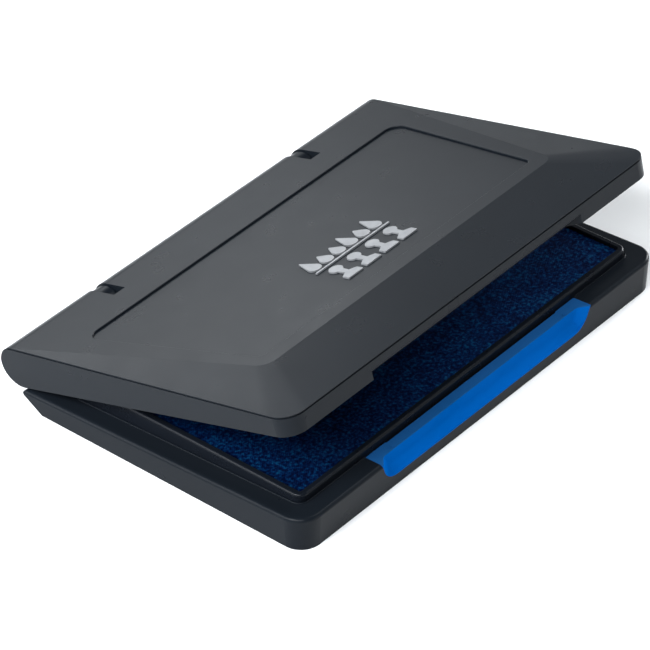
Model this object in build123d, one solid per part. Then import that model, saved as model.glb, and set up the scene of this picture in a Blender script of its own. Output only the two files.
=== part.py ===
from build123d import *
import math
import os

# Ink pad in a hinged two-shell plastic case.
# Origin: centre of the closed case's footprint, on the table. X runs along the case,
# -Y is the opening side, +Y the hinge side, +Z up. All lengths in millimetres.
# The lid is modelled first in its closed attitude, then turned open about the hinge.

os.makedirs("parts", exist_ok=True)

# ---- case outline
CASE_LENGTH = 100.6
CASE_DEPTH = 70.2
CORNER_R = 4.5
HALF_L = CASE_LENGTH / 2
FRONT_Y = -CASE_DEPTH / 2

# ---- hinge and lid attitude
NOSE_R = 4.1
HINGE_Y = CASE_DEPTH / 2 - NOSE_R
HINGE_Z = 8.4
OPEN_DEG = 15.6
LID_HALF = 50.25
LID_REACH = HINGE_Y - FRONT_Y + 0.08
LID_CORNER_R = 4.0
LID_DRAFT_DEG = 2.6

# ---- base tray
RIM_FRONT_Z = 7.0
RIM_SLOPE = -0.0469
RIM_R = 0.7
DRAFT_DEG = 3.6
BASE_WALL = 1.5
DECK_T = 1.3
FLOOR_T = 1.2
BACK_RIM_Y = 31.6
BACK_FOOT_Y = 26.1
BEAD_W = 0.18
BEAD_H = 0.18

# ---- pad cartridge (tray that carries felt and cloth)
CLOTH_L = 90.0
CLOTH_W = 50.0
CART_WALL = 1.15
CART_FRONT_Y = -31.0
CART_TOP_Z = 8.5
CART_LIP_R = 0.5
CART_R = 1.9
CART_GAP = 0.15
CLOTH_FRONT_Y = CART_FRONT_Y + CART_WALL
CLOTH_MID_Y = CLOTH_FRONT_Y + CLOTH_W / 2
CART_FLOOR_Z = FLOOR_T + 0.1
FELT_Z0 = CART_FLOOR_Z + 1.0
FELT_Z1 = 7.0
CLOTH_Z1 = 7.9

# ---- lid shell, heights measured from the hinge axis
LID_TOP = NOSE_R
LID_BOTTOM_FRONT = -1.85
LID_WALL_TOP_FRONT = 1.95
CREASE_V = 52.3
CREASE_HALF = 39.6
CREASE_CORNER_R = 3.0
BEVEL_CORNER_R = 15.0
BEVEL_DROP = 9.0
LID_T = 1.4
LID_WALL = 1.6
PANEL_BACK_V = 11.3
PANEL_FRONT_V = 48.9
PANEL_BACK_HALF = 42.7
PANEL_FRONT_HALF = 37.3
PANEL_DEPTH = 0.4
PANEL_EDGE_R = 0.16
LINE_W = 0.3
LINE_D = 0.2
LINE_LIP = 0.14

# ---- hinge notches
NOTCH_X = 27.1
NOTCH_W = 2.9
NOTCH_V = 4.8
KNUCKLE_R = 3.78
KNUCKLE_W = 2.3
PIN_R = 1.3
PIN_FIT = 0.05

# ---- finger scoop shared by the blue tab and the lid edge
TAB_LEAN_DEG = 20.0
TAB_CORNER_R = 4.0
TAB_CORNER_X = 25.0
TAB_DEPTH = 4.57
SCOOP_LIP = 0.18
SCOOP_IN_HALF = 27.4
SCOOP_OUT_HALF = 29.25
SCOOP_IN_Y = -33.5
SCOOP_ROUND = 1.2
LID_SCOOP_IN_HALF = 27.05
LID_SCOOP_DEPTH = 2.65
LID_SCOOP_RISE = 0.11

# ---- raised silver mark in the lid's panel, distances from the hinge
MARK_RULE_V = 37.65
MARK_HALF = 10.0
MARK_H = 0.3


def rim_z(y):
    """Height of the sloping parting plane."""
    return RIM_FRONT_Z + RIM_SLOPE * (y - FRONT_Y)


def box(x0, x1, y0, y1, z0, z1):
    """Box between two corners."""
    return Pos((x0 + x1) / 2, (y0 + y1) / 2, (z0 + z1) / 2) * Box(x1 - x0, y1 - y0, z1 - z0)


def prism_x(points, x0, x1):
    """Side profile in Y-Z pushed along X."""
    face = make_face(Polyline([(0, y, z) for y, z in points], close=True))
    return Pos(x0, 0, 0) * extrude(face, amount=x1 - x0, dir=(1, 0, 0))


def prism_z(points, z0, z1):
    """Plan outline in X-Y raised along Z."""
    face = make_face(Polyline([(x, y, z0) for x, y in points], close=True))
    return extrude(face, amount=z1 - z0, dir=(0, 0, 1))


def prism_y(points, y0, y1):
    """Front outline in X-Z pushed along Y."""
    face = make_face(Polyline([(x, y0, z) for x, z in points], close=True))
    return extrude(face, amount=y1 - y0, dir=(0, 1, 0))


def plan_block(half_x, y0, y1, r_front, r_back, z0, z1):
    """Upright block with rounded vertical corners."""
    body = box(-half_x, half_x, y0, y1, z0, z1)
    upright = body.edges().filter_by(Axis.Z)
    front = [e for e in upright if e.center().Y < (y0 + y1) / 2]
    back = [e for e in upright if e.center().Y > (y0 + y1) / 2]
    if r_front > 0:
        body = fillet(front, r_front)
    if r_back > 0:
        upright = body.edges().filter_by(Axis.Z)
        back = [e for e in upright if e.center().Y > (y0 + y1) / 2 + 1 and e.length > z1 - z0 - 0.01]
        back = [e for e in back if abs(e.center().Y - y1) < 0.01]
        body = fillet(back, r_back)
    return body


def save(shape, name, colour):
    """Name, colour and write one node."""
    shape.label = name
    shape.color = colour
    export_step(shape, "parts/" + name + ".step")


# ---------------------------------------------------------------- base tray
def under_rim(y0, y1, drop=0.0, z0=-1.0, half=60.0):
    """Everything below the parting plane, lowered by drop."""
    pts = [(y0, z0), (y1, z0), (y1, rim_z(y1) - drop), (y0, rim_z(y0) - drop)]
    return prism_x(pts, -half, half)


def base_outer(inset=0.0):
    """Solid the base is moulded from: rounded corners and drafted walls, back wall leaning in."""
    lean = (BACK_RIM_Y - BACK_FOOT_Y) / rim_z(BACK_RIM_Y)
    shift = inset * math.hypot(1.0, lean)
    side = [(FRONT_Y - 1, 0), (BACK_FOOT_Y - shift, 0), (BACK_FOOT_Y - shift + 10 * lean, 10),
            (FRONT_Y - 1, 10)]
    body = prism_x(side, -60, 60)
    half = HALF_L - inset
    plan = plan_block(half, FRONT_Y + inset, 60, CORNER_R - inset, 0, RIM_FRONT_Z, RIM_FRONT_Z + 1)
    face = plan.faces().sort_by(Axis.Z)[0]
    walls = extrude(face, amount=RIM_FRONT_Z + 0.5, dir=(0, 0, -1), taper=DRAFT_DEG)
    return body & (walls + plan)


# the scoop and the tab share one front outline, the scoop a lip's width inside the tab
def tab_outline(lip, y0, y1):
    """Front outline of the tab pushed along Y: ends leaning in downwards to round lower corners."""
    r = TAB_CORNER_R - lip
    lean = math.radians(TAB_LEAN_DEG)
    zc = RIM_FRONT_Z - TAB_DEPTH + TAB_CORNER_R
    xs = TAB_CORNER_X + r * math.cos(lean)
    zs = zc - r * math.sin(lean)
    xt = xs + (10.0 - zs) * math.tan(lean)
    mid = math.radians((TAB_LEAN_DEG + 90) / 2)
    xm = TAB_CORNER_X + r * math.cos(mid)
    zm = zc - r * math.sin(mid)
    edges = [
        Line((-xt, y0, 10.0), (-xs, y0, zs)),
        ThreePointArc((-xs, y0, zs), (-xm, y0, zm), (-TAB_CORNER_X, y0, zc - r)),
        Line((-TAB_CORNER_X, y0, zc - r), (TAB_CORNER_X, y0, zc - r)),
        ThreePointArc((TAB_CORNER_X, y0, zc - r), (xm, y0, zm), (xs, y0, zs)),
        Line((xs, y0, zs), (xt, y0, 10.0)),
        Line((xt, y0, 10.0), (-xt, y0, 10.0)),
    ]
    return extrude(make_face(Wire(edges)), amount=y1 - y0, dir=(0, 1, 0))


def scoop_cutter():
    """Concave finger scoop: upright at the back, curling out to the front wall at its foot."""
    top = 9.5
    y_in = SCOOP_IN_Y
    y_out = FRONT_Y - 1.0
    foot = RIM_FRONT_Z - TAB_DEPTH + SCOOP_LIP
    back = Line((0, y_in, top), (0, y_in, foot + 2.15))
    curl = ThreePointArc((0, y_in, foot + 2.15), (0, y_in - 0.40, foot + 0.87), (0, FRONT_Y, foot))
    out = Polyline([(0, FRONT_Y, foot), (0, y_out, foot), (0, y_out, top), (0, y_in, top)])
    face = make_face(Wire([back, curl] + list(out.edges())))
    body = Pos(-40, 0, 0) * extrude(face, amount=80, dir=(1, 0, 0))
    lean = math.tan(math.radians(TAB_LEAN_DEG))
    for sign in (-1, 1):
        inner = Vector(sign * SCOOP_IN_HALF, SCOOP_IN_Y, RIM_FRONT_Z)
        outer = Vector(sign * SCOOP_OUT_HALF, FRONT_Y, RIM_FRONT_Z)
        lower = Vector(sign * (SCOOP_IN_HALF - 4 * lean), SCOOP_IN_Y, RIM_FRONT_Z - 4)
        n = (outer - inner).cross(lower - inner)
        if n.X * sign < 0:
            n = n * -1
        plane = Plane(origin=inner, z_dir=n)
        body -= plane * Pos(0, 0, 50) * Box(300, 300, 100)
    ends = [e for e in body.edges() if abs(e.center().Y - y_in) < 0.02 and abs(e.center().X) > 20]
    body = fillet([e for e in ends if e.bounding_box().size.Z > 2], SCOOP_ROUND)
    return body & tab_outline(SCOOP_LIP, FRONT_Y - 3, FRONT_Y + 8)


def tab_blank():
    """Block the tab is cut from: a flange let into the deck and a lug filling the front opening."""
    y_back = CART_FRONT_Y - 0.45
    flange = box(-40, 40, FRONT_Y - 1, y_back, 3.0, 9.5)
    clip = box(-40, 40, y_back - 0.5, y_back + 0.22, 3.0, 9.5)
    clip -= box(-24.0, 24.0, y_back - 1, y_back + 1, 2.0, 10.0)
    flange += clip
    flange -= under_rim(FRONT_Y - 2, y_back + 1, 1.0)
    lug = box(-40, 40, FRONT_Y - 1, y_back - 0.6, 0, 9.5)
    body = (flange + lug) & tab_outline(0.0, FRONT_Y - 2, FRONT_Y + 8)
    body &= under_rim(FRONT_Y - 2, y_back + 1)
    return body & base_outer()


def make_tab(blank):
    """Blue tab: the blank with the scoop taken out."""
    tab = blank - scoop_cutter()
    pip_y = FRONT_Y + 2.1
    for sx in (-1, 1):
        pip = Pos(sx * 24.2, pip_y, rim_z(pip_y)) * Cylinder(0.3, 0.3)
        tab += pip
    return tab


def hinge_arm(x):
    """Hooked knuckle rising from the back deck round the lid's pivot bar."""
    y0 = HINGE_Y
    z0 = HINGE_Z
    half = KNUCKLE_W / 2
    disc = Pos(x, y0, z0) * Rot(0, 90, 0) * Cylinder(KNUCKLE_R, KNUCKLE_W)
    foot = [(26.75, 2.4), (BACK_RIM_Y - 1.2, 2.4), (BACK_RIM_Y, rim_z(BACK_RIM_Y) - 0.02),
            (BACK_RIM_Y + 1.6, z0 - 3.1), (y0, z0 - 1.6), (27.35, z0 - 1.6), (26.75, rim_z(27))]
    arm = disc + prism_x(foot, x - half, x + half)
    arm -= Pos(x, y0, z0) * Rot(0, 90, 0) * Cylinder(PIN_R + PIN_FIT, KNUCKLE_W + 2)
    arm -= box(x - 5, x + 5, y0 - 6, y0, z0 - 0.95, z0 + 0.95)
    return arm


def make_bead(half_p, y0, y1):
    """Fine raised bead on the deck round the foot of the cartridge's frame."""
    r = CART_R + BEAD_W
    ring = plan_block(half_p + BEAD_W, y0 - BEAD_W, y1 + BEAD_W, r, r, 2.0, 9.5)
    ring &= under_rim(-60, 60, -BEAD_H)
    rim_edges = [e for e in ring.edges() if abs(e.center().Z - rim_z(e.center().Y) - BEAD_H) < 0.02]
    return fillet(rim_edges, BEAD_H * 0.75)


def make_base(blank):
    """Base tray: walls, sloping deck, pocket for the cartridge, hinge arms."""
    outer = base_outer() & under_rim(-60, 60)
    rim_edges = [e for e in outer.edges() if abs(e.center().Z - rim_z(e.center().Y)) < 0.02]
    outer = fillet(rim_edges, RIM_R)
    hollow = base_outer(BASE_WALL) & under_rim(-60, 60, DECK_T)
    hollow += Pos(0, 0, -1.5) * (base_outer(BASE_WALL) & box(-60, 60, -60, 60, -0.1, 1.6))
    half_p = CLOTH_L / 2 + CART_WALL + CART_GAP
    y0 = CART_FRONT_Y - CART_GAP
    y1 = CLOTH_MID_Y + CLOTH_W / 2 + CART_WALL + CART_GAP
    well = plan_block(half_p + 1.2, y0 - 1.2, y1 + 1.2, CART_R + 1.2, CART_R + 1.2, 0, 9)
    pocket = plan_block(half_p, y0, y1, CART_R, CART_R, FLOOR_T, 12)
    body = outer - hollow
    body += well & (base_outer() & under_rim(-60, 60, 0.2))
    body -= pocket
    # pads of solid that receive the tab and the hinge arms
    seat = box(-SCOOP_OUT_HALF - 2, SCOOP_OUT_HALF + 2, FRONT_Y + 0.7, y0 - 0.6, 0.0, 6.5)
    body += seat & (base_outer() & under_rim(-60, 60, 0.3))
    for x in (-NOTCH_X, NOTCH_X):
        body += box(x - 2.2, x + 2.2, 24.4, BACK_RIM_Y, 0.0, 6.0) & (base_outer() & under_rim(-60, 60, 0.3))
    # light ribs joining the outer wall to the well, along both ends and the back
    ring = hollow & box(-60, 60, -60, 60, 0, 9)
    ribs = None
    for y in (-20.0, -5.0, 10.0):
        for sx in (-1, 1):
            xm = sx * (HALF_L - 2.6)
            rib = box(xm - 2.4, xm + 2.4, y - 0.5, y + 0.5, 0.0, 6.0)
            ribs = rib if ribs is None else ribs + rib
    for x in (-40.0, -13.5, 0.0, 13.5, 40.0):
        ribs += box(x - 0.5, x + 0.5, y1 + 1.0, BACK_RIM_Y, 0.0, 6.0)
    body += (ribs & ring) - well
    body += make_bead(half_p, y0, y1) - pocket
    body -= blank
    body -= tab_outline(0.0, FRONT_Y - 2, y0) & box(-60, 60, -60, 0, 6.5, 10)
    for x in (-NOTCH_X, NOTCH_X):
        body += hinge_arm(x)
    return body


# ---------------------------------------------------------------- pad cartridge
def make_cartridge():
    """Open tray with a thin upstanding frame round the pad."""
    half = CLOTH_L / 2 + CART_WALL
    y1 = CLOTH_MID_Y + CLOTH_W / 2 + CART_WALL
    body = plan_block(half, CART_FRONT_Y, y1, CART_R, CART_R, CART_FLOOR_Z, CART_TOP_Z)
    lip = [e for e in body.edges() if abs(e.center().Z - CART_TOP_Z) < 0.01]
    body = fillet(lip, CART_LIP_R)
    inner = plan_block(CLOTH_L / 2, CLOTH_FRONT_Y, CLOTH_FRONT_Y + CLOTH_W, 0.5, 0.5,
                       FELT_Z0, CART_TOP_Z + 1)
    return body - inner


def make_felt():
    """Soaked felt block filling the cartridge."""
    g = 0.1
    return plan_block(CLOTH_L / 2 - g, CLOTH_FRONT_Y + g, CLOTH_FRONT_Y + CLOTH_W - g, 0.4, 0.4,
                      FELT_Z0, FELT_Z1)


def make_cloth():
    """Inking cloth stretched over the felt."""
    g = 0.05
    return plan_block(CLOTH_L / 2 - g, CLOTH_FRONT_Y + g, CLOTH_FRONT_Y + CLOTH_W - g, 0.4, 0.4,
                      FELT_Z1, CLOTH_Z1)


# ---------------------------------------------------------------- lid
def lid_profile(inset, t_top):
    """Side profile of the lid in (v forward of the hinge, w above it), as Y-Z points."""
    pts = []
    r = NOSE_R - inset
    top = LID_TOP - t_top
    front = LID_REACH - inset
    fall = (LID_TOP - LID_WALL_TOP_FRONT) / (LID_REACH - CREASE_V)
    wall_top = LID_WALL_TOP_FRONT - t_top + inset * fall
    slope = math.atan2(-NOSE_R - LID_BOTTOM_FRONT, LID_REACH)
    for i in range(0, 37):
        a = math.pi / 2 + (math.pi - slope * 0.9) * i / 36
        w = r * math.sin(a)
        pts.append((r * math.cos(a), min(w, top)))
    low = LID_BOTTOM_FRONT
    if inset > 0:
        pts.append((0.0, -NOSE_R - 3))
        pts.append((front, -NOSE_R - 3))
    else:
        pts.append((front, low))
    pts.append((front, wall_top))
    pts.append((CREASE_V, top))
    return [(HINGE_Y - v, HINGE_Z + w) for v, w in pts]


def lid_side(sign, inset, t_top):
    """Half-space cutter above one end bevel, from the hinge corner to the front corner."""
    x_wall = sign * (LID_HALF - inset)
    x_top = sign * (CREASE_HALF - inset * 0.4)
    p_hinge = Vector(x_wall, HINGE_Y, HINGE_Z + LID_TOP - t_top)
    p_top = Vector(x_top, HINGE_Y - CREASE_V, HINGE_Z + LID_TOP - t_top)
    p_front = Vector(x_wall, HINGE_Y - LID_REACH + inset, HINGE_Z + LID_WALL_TOP_FRONT - t_top)
    n = (p_top - p_hinge).cross(p_front - p_hinge)
    if n.Z < 0:
        n = n * -1
    plane = Plane(origin=p_hinge, z_dir=n)
    return plane * Pos(0, 0, 50) * Box(400, 400, 100)


def crease_outline(out_end, out_front, radius, z):
    """Outline of the lid's flat top grown outwards, with rounded front corners, at height z."""
    dx = LID_HALF - CREASE_HALF
    length = math.hypot(dx, CREASE_V)
    nx = CREASE_V / length
    ny = dx / length
    v_front = CREASE_V + out_front
    v_back = -25.0

    def end_x(v):
        return (nx * LID_HALF + out_end - ny * v) / nx

    pts = [(end_x(v_back), v_back), (end_x(v_front), v_front), (-end_x(v_front), v_front),
           (-end_x(v_back), v_back)]
    face = make_face(Polyline([(x, HINGE_Y - v, z) for x, v in pts], close=True))
    y_front = HINGE_Y - v_front
    return fillet([v for v in face.vertices() if abs(v.Y - y_front) < 0.01], radius)


def bevel_block():
    """Everything under the flat top and its bevels, which run smoothly round the front corners."""
    fall = LID_TOP - LID_WALL_TOP_FRONT
    dx = LID_HALF - CREASE_HALF
    across = dx * CREASE_V / math.hypot(dx, CREASE_V)
    out_end = BEVEL_DROP * across / (fall * CREASE_V / LID_REACH)
    out_front = BEVEL_DROP * (LID_REACH - CREASE_V) / fall
    top = HINGE_Z + LID_TOP
    upper = crease_outline(0.0, 0.0, CREASE_CORNER_R, top)
    lower = crease_outline(out_end, out_front, BEVEL_CORNER_R, top - BEVEL_DROP)
    block = loft([upper, lower], ruled=True)
    foot = box(-70, 70, -60, 60, top - BEVEL_DROP - 10, top - BEVEL_DROP)
    return block + foot


def lid_plan(inset, y_back=60):
    """Upright plan of the lid, its walls drawn in slightly downwards."""
    z = HINGE_Z + LID_TOP
    y_front = HINGE_Y - LID_REACH + inset
    r = LID_CORNER_R - inset
    plan = plan_block(LID_HALF - inset, y_front, y_back, r, 0, z, z + 5)
    face = plan.faces().sort_by(Axis.Z)[0]
    return plan + extrude(face, amount=z, dir=(0, 0, -1), taper=LID_DRAFT_DEG)


def lid_blank(inset, t_top):
    """Lid solid with nose, front bevel, end bevels and rounded front corners."""
    body = prism_x(lid_profile(inset, t_top), -LID_HALF + inset, LID_HALF - inset)
    for sign in (-1, 1):
        body -= lid_side(sign, inset, t_top)
    return body & lid_plan(inset)


def lid_line():
    """Fine groove just under the top edge of the upright walls, round both ends and the front."""
    y_front = HINGE_Y - LID_REACH
    ring = box(-60, 60, y_front - 3, 50, -1, 20) - lid_plan(LINE_D)
    w0 = HINGE_Z + LID_TOP - LINE_LIP
    w1 = HINGE_Z + LID_WALL_TOP_FRONT - LINE_LIP
    band = prism_x([(HINGE_Y + 1.2, w0 - LINE_W), (HINGE_Y + 1.2, w0), (y_front, w1),
                    (y_front - 3, w1), (y_front - 3, w1 - LINE_W), (y_front, w1 - LINE_W)], -60, 60)
    return ring & band


def panel_cut():
    """Shallow recessed panel in the lid's top, narrowing to the front."""
    yb = HINGE_Y - PANEL_BACK_V
    yf = HINGE_Y - PANEL_FRONT_V
    z = HINGE_Z + LID_TOP
    cut = prism_z([(-PANEL_BACK_HALF, yb), (PANEL_BACK_HALF, yb), (PANEL_FRONT_HALF, yf),
                   (-PANEL_FRONT_HALF, yf)], z - PANEL_DEPTH, z + 2)
    upright = cut.edges().filter_by(Axis.Z)
    back = [e for e in upright if e.center().Y > 0]
    cut = fillet(back, 2.6)
    upright = cut.edges().filter_by(Axis.Z)
    front = [e for e in upright if abs(e.center().Y - yf) < 0.01]
    return fillet(front, 1.4)


def panel_edges(body):
    """Upper edges of the recessed panel."""
    z = HINGE_Z + LID_TOP
    y_back = HINGE_Y - PANEL_BACK_V + 0.1
    y_front = HINGE_Y - PANEL_FRONT_V - 0.1
    found = [e for e in body.edges() if e.bounding_box().size.Z < 0.01 and abs(e.center().Z - z) < 0.01]
    found = [e for e in found if y_front < e.center().Y < y_back]
    return [e for e in found if abs(e.center().X) < PANEL_BACK_HALF]


def lid_scoop():
    """Upper half of the finger scoop, cut into the lid's front edge."""
    y_front = HINGE_Y - LID_REACH
    y_in = y_front + LID_SCOOP_DEPTH
    low = HINGE_Z + LID_BOTTOM_FRONT
    high = HINGE_Z + LID_SCOOP_RISE
    side = [(y_in, low - 1.0), (y_in, low + 0.02), (y_front, high), (y_front - 1, high + 0.55),
            (y_front - 1, low - 1.0)]
    wedge = prism_x(side, -35, 35)
    grow = (SCOOP_OUT_HALF - LID_SCOOP_IN_HALF) / LID_SCOOP_DEPTH
    x_out = SCOOP_OUT_HALF + grow
    plan = [(-x_out, y_front - 1), (x_out, y_front - 1), (LID_SCOOP_IN_HALF, y_in),
            (-LID_SCOOP_IN_HALF, y_in)]
    return wedge & prism_z(plan, -5, 20)


def make_lid():
    """Lid shell in its closed attitude."""
    outer = lid_blank(0.0, 0.0) & bevel_block()
    inner = lid_blank(LID_WALL, LID_T)
    body = outer - inner
    # thicker front edge behind the scoop, and solid cheeks round the hinge notches
    y_in = HINGE_Y - LID_REACH + LID_SCOOP_DEPTH + 0.45
    body += box(-SCOOP_OUT_HALF - 1.6, SCOOP_OUT_HALF + 1.6, FRONT_Y - 1, y_in, 0, 20) & outer
    for x in (-NOTCH_X, NOTCH_X):
        half = NOTCH_W / 2 + 1.3
        body += box(x - half, x + half, HINGE_Y - NOTCH_V - 1.3, 60, 0, 20) & outer
    # stiffening ribs across the underside of the lid
    for x in (-40.0, -13.5, 13.5, 40.0):
        rib = box(x - 0.5, x + 0.5, HINGE_Y - 7.5, HINGE_Y - 0.5, HINGE_Z - 2.2, 20)
        body += rib & outer
    body -= panel_cut()
    body = fillet(panel_edges(body), PANEL_EDGE_R)
    body -= lid_line()
    body -= lid_scoop()
    for x in (-NOTCH_X, NOTCH_X):
        half = NOTCH_W / 2
        body -= box(x - half, x + half, HINGE_Y - NOTCH_V, 60, -5, 20)
        bar = Pos(x, HINGE_Y, HINGE_Z) * Rot(0, 90, 0) * Cylinder(PIN_R, NOTCH_W + 1.0)
        body += bar
    return body


# ---------------------------------------------------------------- generic mark on the lid
def drop_outline(cx, cy, r, tall):
    """Ink-drop outline: a circle drawn up to a point."""
    pts = []
    for i in range(0, 25):
        a = math.radians(-210 + 240 * i / 24)
        pts.append((cx + r * math.cos(a), cy + r * math.sin(a)))
    pts.append((cx + 0.12, cy + tall))
    pts.append((cx - 0.12, cy + tall))
    return pts


def stamp_outline(cx, y_low, y_high):
    """Hand-stamp outline: a block, a waisted handle and a round knob."""
    tall = y_high - y_low
    knob = 0.21 * tall
    pts = [(cx - 1.95, y_low), (cx + 1.95, y_low), (cx + 1.95, y_low + 0.24 * tall),
           (cx + 0.55, y_low + 0.36 * tall)]
    for i in range(0, 17):
        a = math.radians(-62 + 304 * i / 16)
        pts.append((cx + knob * math.cos(a) * 1.1, y_high - knob + knob * math.sin(a)))
    pts.append((cx - 0.55, y_low + 0.36 * tall))
    pts.append((cx - 1.95, y_low + 0.24 * tall))
    return pts


def make_mark():
    """Plain silver pictograms: ink drops over a rule, and hand stamps under it."""
    z0 = HINGE_Z + LID_TOP - PANEL_DEPTH
    z1 = z0 + MARK_H
    y_rule = HINGE_Y - MARK_RULE_V
    pieces = [box(-MARK_HALF, MARK_HALF, y_rule - 0.21, y_rule + 0.21, z0, z1)]
    for i in range(0, 6):
        x = MARK_HALF * (2 * i - 5) / 6
        tall = 5.0 if i in (0, 3, 5) else 3.75
        r = 1.38
        pieces.append(prism_z(drop_outline(x, y_rule + 0.6 + r, r, tall - r), z0, z1))
    for i in range(0, 4):
        x = MARK_HALF * (2 * i - 3) / 4
        pieces.append(prism_z(stamp_outline(x, y_rule - 7.3, y_rule - 1.2), z0, z1))
    return pieces


def opened(shape):
    """Turn a closed-attitude lid shape to the open rest attitude."""
    turn = Pos(0, HINGE_Y, HINGE_Z) * Rot(-OPEN_DEG, 0, 0) * Pos(0, -HINGE_Y, -HINGE_Z)
    return turn * shape


BLACK = Color(0.085, 0.092, 0.100)
CHARCOAL = Color(0.070, 0.078, 0.088)
BLUE = Color(0.010, 0.120, 0.480)
INK = Color(0.005, 0.030, 0.110)
FELT = Color(0.010, 0.040, 0.160)
SILVER = Color(0.720, 0.730, 0.740)

blank = tab_blank()
save(make_base(blank), "base_tray", BLACK)
save(make_cartridge(), "pad_cartridge", CHARCOAL)
save(make_felt(), "felt_core", FELT)
save(make_cloth(), "pad_cloth", INK)
save(make_tab(blank), "colour_tab", BLUE)
save(opened(make_lid()), "lid_shell", BLACK)
marks = [opened(m) for m in make_mark()]
save(Compound(children=marks), "lid_mark", SILVER)
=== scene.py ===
import math

import bmesh
import bpy
from mathutils import Matrix, Vector, noise


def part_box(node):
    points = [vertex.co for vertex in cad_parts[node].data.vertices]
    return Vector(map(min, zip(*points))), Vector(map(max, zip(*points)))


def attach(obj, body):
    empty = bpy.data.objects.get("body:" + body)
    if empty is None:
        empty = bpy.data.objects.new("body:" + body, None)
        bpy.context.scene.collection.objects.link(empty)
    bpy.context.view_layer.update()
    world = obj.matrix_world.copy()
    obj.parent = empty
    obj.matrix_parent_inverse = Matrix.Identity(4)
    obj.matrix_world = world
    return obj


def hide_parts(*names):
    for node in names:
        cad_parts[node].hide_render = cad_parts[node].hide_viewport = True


# Ink pad in a hinged case: looks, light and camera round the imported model.
# Lengths are in metres, in the model's own frame: X along the case, -Y the opening side, +Z up.

MM = 0.001
RIM_SLOPE = 0.0469
RIM_FRONT_Z = 7.0 * MM
FRONT_EDGE_Y = -35.1 * MM

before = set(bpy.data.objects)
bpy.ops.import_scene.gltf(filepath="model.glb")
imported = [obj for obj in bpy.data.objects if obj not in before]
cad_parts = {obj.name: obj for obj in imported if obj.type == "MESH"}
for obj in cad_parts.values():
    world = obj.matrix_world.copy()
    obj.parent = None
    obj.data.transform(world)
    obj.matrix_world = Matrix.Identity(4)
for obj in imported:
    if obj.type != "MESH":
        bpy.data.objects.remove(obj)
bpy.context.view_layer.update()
scene = bpy.context.scene


# ---------------------------------------------------------------- node helpers
class Nodes:
    """A material's node tree, with short calls to add and join nodes."""

    def __init__(self, name):
        self.material = bpy.data.materials.new(name)
        self.material.use_nodes = True
        self.tree = self.material.node_tree
        self.shader = self.tree.nodes["Principled BSDF"]
        coords = self.tree.nodes.new("ShaderNodeTexCoord")
        self.place = coords.outputs["Object"]

    def set(self, **values):
        """Uniform values, set on the shader's own sockets."""
        for name, value in values.items():
            self.shader.inputs[name.replace("_", " ")].default_value = value

    def join(self, output, socket):
        self.tree.links.new(output, socket)

    def speckle(self, size, detail=2.0, rough=0.5):
        """Noise whose lumps are about size metres across."""
        node = self.tree.nodes.new("ShaderNodeTexNoise")
        node.inputs["Scale"].default_value = 1.0 / size
        node.inputs["Detail"].default_value = detail
        node.inputs["Roughness"].default_value = rough
        self.join(self.place, node.inputs["Vector"])
        return node.outputs["Fac"]

    def ramp(self, factor, *stops):
        """Colour ramp through (position, (r, g, b)) stops."""
        node = self.tree.nodes.new("ShaderNodeValToRGB")
        ramp = node.color_ramp
        while len(ramp.elements) < len(stops):
            ramp.elements.new(0.5)
        for element, (position, colour) in zip(ramp.elements, stops):
            element.position = position
            element.color = (*colour, 1.0)
        self.join(factor, node.inputs["Fac"])
        return node.outputs["Color"]

    def span(self, factor, low, high, from_low=0.0, from_high=1.0):
        """A number that goes from low to high with factor."""
        node = self.tree.nodes.new("ShaderNodeMapRange")
        self.join(factor, node.inputs["Value"])
        node.inputs["From Min"].default_value = from_low
        node.inputs["From Max"].default_value = from_high
        node.inputs["To Min"].default_value = low
        node.inputs["To Max"].default_value = high
        return node.outputs["Result"]

    def maths(self, operation, a, b=0.0):
        """a and b joined by a Math node's operation; either may be a plain number."""
        node = self.tree.nodes.new("ShaderNodeMath")
        node.operation = operation
        for socket, value in zip(node.inputs, (a, b)):
            if isinstance(value, (int, float)):
                socket.default_value = value
            else:
                self.join(value, socket)
        return node.outputs["Value"]

    def blend(self, factor, first, second):
        """Colour that goes from first to second as factor goes from 0 to 1."""
        node = self.tree.nodes.new("ShaderNodeMix")
        node.data_type = "RGBA"
        self.join(factor, node.inputs[0])
        self.join(first, node.inputs[6])
        self.join(second, node.inputs[7])
        return node.outputs[2]

    def position(self):
        """The place on the object, split into x, y and z."""
        node = self.tree.nodes.new("ShaderNodeSeparateXYZ")
        self.join(self.place, node.inputs["Vector"])
        return node.outputs["X"], node.outputs["Y"], node.outputs["Z"]

    def bump(self, height, depth, under=None):
        """Relief of that depth in metres; under is another bump that it lies on."""
        node = self.tree.nodes.new("ShaderNodeBump")
        node.inputs["Distance"].default_value = depth
        self.join(height, node.inputs["Height"])
        if under:
            self.join(under, node.inputs["Normal"])
        return node.outputs["Normal"]


# ---------------------------------------------------------------- materials
def moulded_plastic(name, colour, roughness, specular):
    """Satin moulded plastic: faint tone drift, fine spark-eroded grain, uneven gloss."""
    m = Nodes(name)
    drift = m.speckle(28 * MM, detail=3)
    fine = m.speckle(0.35 * MM, detail=2)
    dark = tuple(c * 0.93 for c in colour)
    light = tuple(c * 1.07 for c in colour)
    tone = m.ramp(drift, (0.35, dark), (0.65, light))
    m.join(tone, m.shader.inputs["Base Color"])
    gloss = m.span(m.speckle(6 * MM, detail=4), roughness - 0.02, roughness + 0.02, 0.3, 0.7)
    m.join(gloss, m.shader.inputs["Roughness"])
    m.join(m.bump(fine, 0.004 * MM), m.shader.inputs["Normal"])
    m.set(Specular_IOR_Level=specular)
    return m.material


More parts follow.
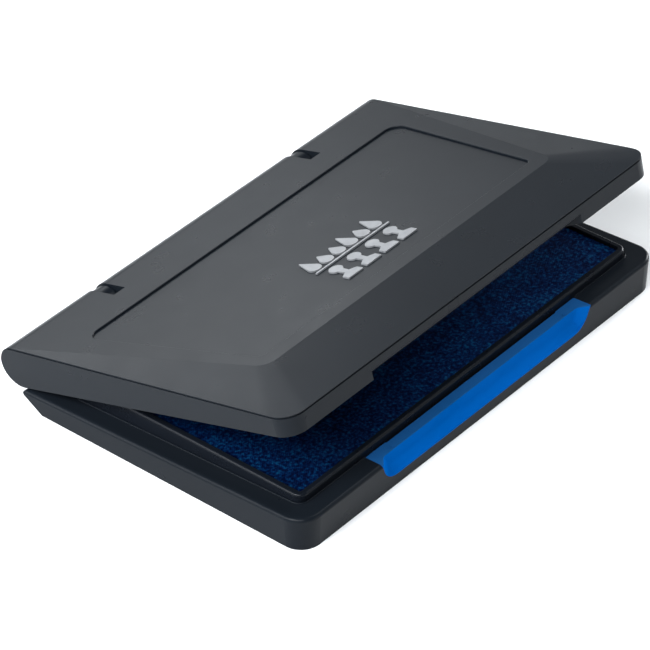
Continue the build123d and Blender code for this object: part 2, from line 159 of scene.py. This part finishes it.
def coloured_plastic(name):
    """Blue moulded plastic; the low flange at deck level is given a darker, greyer blue, which is painted
    shade.
    """
    m = Nodes(name)
    drift = m.speckle(14 * MM, detail=3)
    tone = m.ramp(drift, (0.3, (0.000, 0.083, 0.345)), (0.7, (0.001, 0.090, 0.370)))
    # Painted shade: a darker, greyer copy of the blue for the flange at deck level.
    painted_shade_flange_tone = m.ramp(drift, (0.3, (0.008, 0.066, 0.200)), (0.7, (0.010, 0.072, 0.220)))
    x, y, z = m.position()
    level = m.maths("ADD", z, m.maths("MULTIPLY", y, RIM_SLOPE))
    top = RIM_FRONT_Z + RIM_SLOPE * FRONT_EDGE_Y
    # Painted shade mask: the flange's top, just below the sloping rim level.
    flange = m.span(level, 0.0, 1.0, top - 0.22 * MM, top - 0.08 * MM)
    m.join(m.blend(flange, tone, painted_shade_flange_tone), m.shader.inputs["Base Color"])
    gloss = m.span(m.speckle(4 * MM, detail=3), 0.30, 0.36, 0.3, 0.7)
    m.join(gloss, m.shader.inputs["Roughness"])
    m.join(m.bump(m.speckle(0.3 * MM), 0.003 * MM), m.shader.inputs["Normal"])
    m.set(Specular_IOR_Level=0.0)
    return m.material


def silver_foil(name):
    """Hot-stamped silver foil with a faint orange-peel."""
    m = Nodes(name)
    tone = m.ramp(m.speckle(2.5 * MM, detail=4), (0.3, (0.19, 0.195, 0.205)), (0.7, (0.24, 0.245, 0.255)))
    m.join(tone, m.shader.inputs["Base Color"])
    gloss = m.span(m.speckle(1.2 * MM, detail=3), 0.30, 0.42, 0.3, 0.7)
    m.join(gloss, m.shader.inputs["Roughness"])
    m.join(m.bump(m.speckle(0.25 * MM), 0.004 * MM), m.shader.inputs["Normal"])
    m.set(Metallic=0.35)
    return m.material


def inked_cloth(name):
    """Ink-soaked cloth: navy, mottled, painted lighter towards +X and darker towards -X as painted light
    and shade, with a plain weave in relief.
    """
    m = Nodes(name)
    fleck = m.speckle(0.62 * MM, detail=2, rough=0.55)
    blotch = m.speckle(3.4 * MM, detail=3, rough=0.6)
    both = m.maths("ADD", m.maths("MULTIPLY", fleck, 0.74), m.maths("MULTIPLY", blotch, 0.26))
    # Painted shade: a darker copy of the ink colour, for the -X end.
    painted_shade_ink = m.ramp(
        both,
        (0.40, (0.0002, 0.0016, 0.0120)),
        (0.50, (0.0003, 0.0050, 0.0260)),
        (0.57, (0.0006, 0.0105, 0.0430)),
        (0.66, (0.0012, 0.0260, 0.0680)),
    )
    # Painted light: a lighter copy of the ink colour, for the +X end.
    painted_light_ink = m.ramp(
        both,
        (0.40, (0.0003, 0.0034, 0.0250)),
        (0.50, (0.0005, 0.0110, 0.0560)),
        (0.57, (0.0010, 0.0250, 0.0950)),
        (0.66, (0.0022, 0.0600, 0.1500)),
    )
    x, y, z = m.position()
    # Painted light and shade: the cloth goes from the darker copy at -X to the lighter copy at +X.
    painted_light_ramp = m.span(x, 0.0, 1.0, -44 * MM, 2 * MM)
    m.join(m.blend(painted_light_ramp, painted_shade_ink, painted_light_ink), m.shader.inputs["Base Color"])
    gloss = m.span(fleck, 0.75, 0.55, 0.35, 0.65)
    m.join(gloss, m.shader.inputs["Roughness"])
    thread = 2 * math.pi / (0.45 * MM)
    warp = m.maths("SINE", m.maths("MULTIPLY", x, thread))
    weft = m.maths("SINE", m.maths("MULTIPLY", y, thread))
    weave = m.bump(m.maths("MULTIPLY", warp, weft), 0.025 * MM)
    m.join(m.bump(fleck, 0.10 * MM, under=weave), m.shader.inputs["Normal"])
    m.set(Specular_IOR_Level=0.015)
    return m.material


def soaked_felt(name):
    """Dense felt, blue with ink, fibrous."""
    m = Nodes(name)
    fibre = m.speckle(0.6 * MM, detail=6, rough=0.7)
    tone = m.ramp(fibre, (0.35, (0.002, 0.012, 0.06)), (0.65, (0.006, 0.035, 0.13)))
    m.join(tone, m.shader.inputs["Base Color"])
    m.join(m.span(fibre, 0.95, 0.8, 0.3, 0.7), m.shader.inputs["Roughness"])
    m.join(m.bump(fibre, 0.15 * MM), m.shader.inputs["Normal"])
    m.set(Sheen_Weight=0.2)
    return m.material


def white_floor(name):
    """Plain white backdrop, barely uneven."""
    m = Nodes(name)
    tone = m.ramp(m.speckle(0.4, detail=1), (0.4, (0.90, 0.90, 0.90)), (0.6, (0.92, 0.92, 0.92)))
    m.join(tone, m.shader.inputs["Base Color"])
    m.set(Roughness=0.9, Specular_IOR_Level=0.1)
    return m.material


def paint(node, material):
    """Give a CAD node its material."""
    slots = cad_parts[node].data.materials
    slots.clear()
    slots.append(material)


# ---------------------------------------------------------------- the pad
EDGE_DROP = 0.15  # of the pad's thickness, at its top edge


def crowned_slab(name, low, high, crown, pull, round_edge, step):
    """Closed pad in the box from low to high: flat bottom, crowned top, sides pulled in between the
    corners, and a top edge that rounds down over about round_edge. The mesh's squares are about step."""
    mid = (low + high) / 2
    half = (high - low) / 2
    nx = max(8, round(2 * half.x / step))
    ny = max(8, round(2 * half.y / step))
    mesh = bpy.data.meshes.new(name)
    bm = bmesh.new()

    def spread(k, n):
        """Grid position from -1 to 1, closer together near the edges."""
        t = 2 * k / n - 1
        return math.copysign(1 - (1 - abs(t)) ** 1.25, t)

    def point(i, j, top):
        u = spread(i, nx)
        v = spread(j, ny)
        x = mid.x + u * (half.x - pull * (1 - v * v))
        y = mid.y + v * (half.y - pull * (1 - u * u))
        edge = min((1 - abs(u)) * half.x, (1 - abs(v)) * half.y)
        if top:
            arch = (1 - u ** 4) * (1 - v ** 4)
            rise = 1 - math.exp(-edge / round_edge)
            z = high.z - EDGE_DROP * (high.z - low.z) * (1 - rise) + crown * arch
        else:
            z = low.z
        return x, y, z

    tops = [[bm.verts.new(point(i, j, True)) for j in range(ny + 1)] for i in range(nx + 1)]
    bottoms = [[bm.verts.new(point(i, j, False)) for j in range(ny + 1)] for i in range(nx + 1)]
    for i in range(nx):
        for j in range(ny):
            bm.faces.new((tops[i][j], tops[i + 1][j], tops[i + 1][j + 1], tops[i][j + 1]))
            bm.faces.new((bottoms[i][j], bottoms[i][j + 1], bottoms[i + 1][j + 1], bottoms[i + 1][j]))
    for i in range(nx):
        for j in (0, ny):
            ring = (bottoms[i][j], bottoms[i + 1][j], tops[i + 1][j], tops[i][j])
            bm.faces.new(ring if j == 0 else ring[::-1])
    for j in range(ny):
        for i in (0, nx):
            ring = (bottoms[i][j], tops[i][j], tops[i][j + 1], bottoms[i][j + 1])
            bm.faces.new(ring if i == 0 else ring[::-1])
    bmesh.ops.recalc_face_normals(bm, faces=bm.faces)
    bm.to_mesh(mesh)
    bm.free()
    for face in mesh.polygons:
        face.use_smooth = True
    piece = bpy.data.objects.new(name, mesh)
    scene.collection.objects.link(piece)
    return piece


def add_lumps(piece, size, depth):
    """Small uneven rises in the upper surface."""
    for vertex in piece.data.vertices:
        if vertex.normal.z > 0.5:
            vertex.co.z += depth * noise.noise(vertex.co / size)


low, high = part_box("pad_cloth")
cloth = crowned_slab(
    "ink_cloth", low, high, crown=0.38 * MM, pull=0.10 * MM, round_edge=0.5 * MM, step=0.7 * MM
)
add_lumps(cloth, size=1.6 * MM, depth=0.07 * MM)
cloth.data.materials.append(inked_cloth("inked_cloth"))
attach(cloth, "base")
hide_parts("pad_cloth")

low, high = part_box("felt_core")
felt = crowned_slab(
    "felt_block", low, high, crown=0.0, pull=0.1 * MM, round_edge=0.4 * MM, step=1.2 * MM
)
felt.data.materials.append(soaked_felt("soaked_felt"))
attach(felt, "base")
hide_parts("felt_core")

# ---------------------------------------------------------------- carried-over parts
CHARCOAL = (0.0060, 0.0080, 0.0110)
DARK_CHARCOAL = (0.0045, 0.0060, 0.0090)
paint("base_tray", moulded_plastic("case_plastic", CHARCOAL, roughness=0.29, specular=0.07))
paint("lid_shell", moulded_plastic("lid_plastic", CHARCOAL, roughness=0.29, specular=0.105))
paint("pad_cartridge", moulded_plastic("cartridge_plastic", DARK_CHARCOAL, roughness=0.28, specular=0.11))
paint("colour_tab", coloured_plastic("tab_plastic"))
paint("lid_mark", silver_foil("silver_foil"))

# ---------------------------------------------------------------- floor, light and camera
AIM = Vector((-8.63, -4.80, 10.5)) * MM
AZIMUTH = -49.28
ELEVATION = 37.10
ROLL = -1.11
DISTANCE = 701.75 * MM
LENS = 219.2  # mm, on a 36 mm wide sensor
FLOOR_SIZE = 6.0
WORLD_STRENGTH = 0.03
PANEL_DISTANCE = 0.9
PANEL_SIZE = 0.32
PANELS = (  # azimuth from the front towards +X and elevation, in degrees, and power in watts
    (135, 24, 0.27), (135, 8, 0.10), (150, 24, 1.28), (165, 24, 0.80), (165, 8, 0.35),
    (225, 4, 3.6), (240, 24, 1.8), (232, 37, 2.0), (252, 42, 3.0), (270, 42, 7.2), (300, 42, 3.6),
    (45, 31, 0.6), (15, 6, 1.2), (80, 62, 2.1), (85, 13, 7.5),
)


def direction(azimuth, elevation):
    """Unit vector out from the object."""
    a = math.radians(azimuth)
    e = math.radians(elevation)
    return Vector((math.sin(a) * math.cos(e), -math.cos(a) * math.cos(e), math.sin(e)))


def make_floor():
    bpy.ops.mesh.primitive_plane_add(size=FLOOR_SIZE, location=(0, 0, 0))
    floor = bpy.context.object
    floor.name = "floor"
    floor.data.materials.append(white_floor("floor_white"))


def make_world(strength):
    """Soft tent: paler near the horizon than overhead."""
    world = bpy.data.worlds.new("studio")
    scene.world = world
    world.use_nodes = True
    tree = world.node_tree
    back = tree.nodes["Background"]
    coords = tree.nodes.new("ShaderNodeTexCoord")
    split = tree.nodes.new("ShaderNodeSeparateXYZ")
    ramp = tree.nodes.new("ShaderNodeValToRGB")
    tree.links.new(coords.outputs["Generated"], split.inputs["Vector"])
    tree.links.new(split.outputs["Z"], ramp.inputs["Fac"])
    tree.links.new(ramp.outputs["Color"], back.inputs["Color"])
    ramp.color_ramp.elements[0].position = 0.0
    ramp.color_ramp.elements[0].color = (1.0, 1.0, 1.0, 1)
    ramp.color_ramp.elements[1].position = 0.75
    ramp.color_ramp.elements[1].color = (0.5, 0.5, 0.5, 1)
    back.inputs["Strength"].default_value = strength


def soft_box(name, azimuth, elevation, power):
    """Square area light, faintly cool, aimed at the middle of the object's footprint."""
    lamp = bpy.data.lights.new(name, "AREA")
    lamp.color = (0.965, 1.0, 1.03)
    lamp.shape = "SQUARE"
    lamp.size = PANEL_SIZE
    lamp.energy = power
    rig = bpy.data.objects.new(name, lamp)
    scene.collection.objects.link(rig)
    out = direction(azimuth, elevation)
    rig.location = out * PANEL_DISTANCE
    rig.rotation_mode = "QUATERNION"
    rig.rotation_quaternion = out.to_track_quat("Z", "Y")


def make_camera():
    """Long-lens camera that looks at AIM, rolled a little about its own axis."""
    a = math.radians(AZIMUTH)
    r = math.radians(ROLL)
    back = direction(AZIMUTH, ELEVATION)
    level = Vector((math.cos(a), math.sin(a), 0))
    up = back.cross(level)
    right = math.cos(r) * level + math.sin(r) * up
    up = math.cos(r) * up - math.sin(r) * level
    data = bpy.data.cameras.new("camera")
    data.lens = LENS
    data.sensor_width = 36.0
    data.clip_start = 0.01
    data.clip_end = 20.0
    camera = bpy.data.objects.new("camera", data)
    scene.collection.objects.link(camera)
    place = AIM + back * DISTANCE
    turn = Matrix((right, up, back)).transposed()
    camera.matrix_world = Matrix.Translation(place) @ turn.to_4x4()
    scene.camera = camera


make_floor()
make_world(WORLD_STRENGTH)
for azimuth, elevation, power in PANELS:
    soft_box(f"panel_{azimuth}_{elevation}", azimuth, elevation, power)
make_camera()
scene.view_settings.view_transform = "Standard"
scene.view_settings.look = "None"
